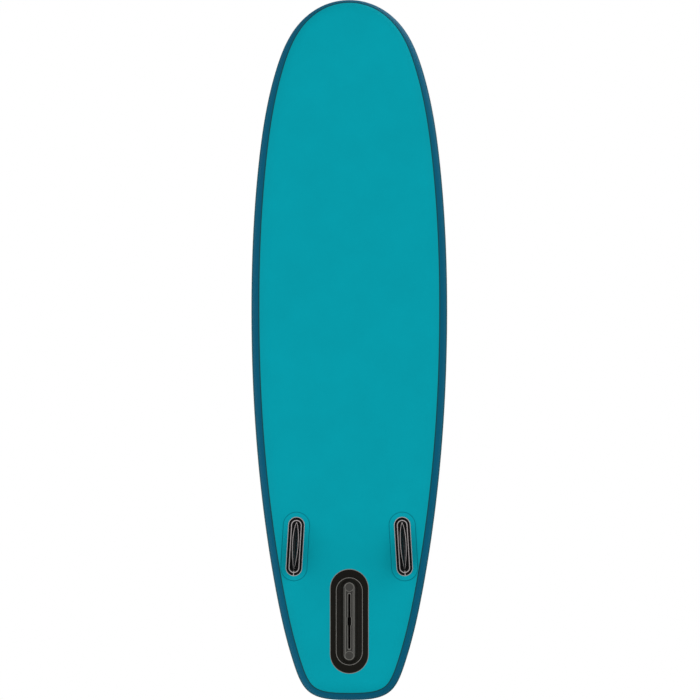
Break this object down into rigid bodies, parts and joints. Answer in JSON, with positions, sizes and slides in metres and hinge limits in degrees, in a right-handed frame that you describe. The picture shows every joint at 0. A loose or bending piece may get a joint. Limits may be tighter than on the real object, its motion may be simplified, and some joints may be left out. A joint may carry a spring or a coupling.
{
  "type": "stand up paddleboard",
  "caption": "Inflatable stand up paddleboard with a drop-stitch hull, rail bands, side fins, centre fin box, deck pads, carry handle, valve, ring loops and bow bungee.",
  "frame": {"origin": "on the flat underside of the belly, at mid length on the centreline", "axes": "+Z out of the deck, +Y towards the nose, +X across the board"},
  "size_m": [0.8384, 3, 0.3893],
  "materials": {
    "hull_skin": "satin",
    "rail_band": "satin",
    "thread": "matt",
    "fin_patch": "satin",
    "black_plastic": "satin",
    "grey_core": "satin",
    "foam_pad": "matt",
    "webbing": "matt",
    "steel": "satin",
    "spring_steel": "satin",
    "soft_rubber": "matt",
    "cord": "matt"
  },
  "bodies": {
    "board": {"bottom_skin": "hull_skin", "bow_ring_front_left": "steel", "bow_ring_front_left_loop": "webbing", "bow_ring_front_left_patch": "fin_patch", "bow_ring_front_right": "steel", "bow_ring_front_right_loop": "webbing", "bow_ring_front_right_patch": "fin_patch", "bow_ring_rear_left": "steel", "bow_ring_rear_left_loop": "webbing", "bow_ring_rear_left_patch": "fin_patch", "bow_ring_rear_right": "steel", "bow_ring_rear_right_loop": "webbing", "bow_ring_rear_right_patch": "fin_patch", "bungee_cord": "cord", "bungee_knot": "cord", "centre_box": "grey_core", "centre_box_flange": "black_plastic", "centre_box_patch": "black_plastic", "deck_pad_front": "foam_pad", "deck_pad_middle": "foam_pad", "deck_pad_rear": "foam_pad", "deck_skin": "hull_skin", "drop_stitch_threads": "thread", "handle_grip": "black_plastic", "handle_patch_front": "fin_patch", "handle_patch_rear": "fin_patch", "handle_strap": "webbing", "kick_pad": "foam_pad", "leash_ring_loop": "webbing", "leash_ring_patch": "fin_patch", "rail_band_left": "rail_band", "rail_band_right": "rail_band", "side_fin_left": "black_plastic", "side_fin_patch_left": "fin_patch", "side_fin_patch_right": "fin_patch", "side_fin_right": "black_plastic", "side_wall_left": "hull_skin", "side_wall_right": "hull_skin", "tether_collar": "black_plastic", "tow_ring_loop": "webbing", "tow_ring_patch": "fin_patch", "valve_body": "black_plastic", "valve_gasket": "soft_rubber", "valve_nut": "black_plastic", "valve_spring": "spring_steel"},
    "diaphragm": {"valve_diaphragm": "soft_rubber"},
    "plunger": {"valve_plunger": "grey_core"},
    "tether": {"cap_tether": "soft_rubber"},
    "cap": {"valve_cap": "grey_core", "cap_seal": "soft_rubber"},
    "leash": {"leash_ring": "steel"},
    "tow": {"tow_ring": "steel"}
  },
  "joints": [
    {"name": "valve_push", "type": "slide", "parent": "board", "child": "diaphragm", "axis": [0, 0, -1], "range_m": [0, 0.005], "stiffness_N_per_m": 1500, "springref_m": -0.003, "deforming": ["valve_spring"]},
    {"name": "plunger_turn", "type": "hinge", "parent": "diaphragm", "child": "plunger", "pos_m": [0, -1.31, 0.13], "axis": [0, 0, 1], "range_deg": [0, 90]},
    {"name": "cap_swing", "type": "hinge", "parent": "board", "child": "tether", "pos_m": [0, -1.276, 0.157], "axis": [-1, 0, 0], "range_deg": [0, 160]},
    {"name": "cap_turn", "type": "hinge", "parent": "tether", "child": "cap", "pos_m": [0, -1.31, 0.156], "axis": [0, 0, 1], "range_deg": [0, 90]},
    {"name": "leash_ring_swing", "type": "hinge", "parent": "board", "child": "leash", "pos_m": [0, -1.388, 0.15455], "axis": [-1, 0, 0], "range_deg": [0, 175]},
    {"name": "tow_ring_swing", "type": "hinge", "parent": "board", "child": "tow", "pos_m": [0, 1.3686, 0.26819], "axis": [-1, 0, 0], "range_deg": [0, 175]}
  ]
}
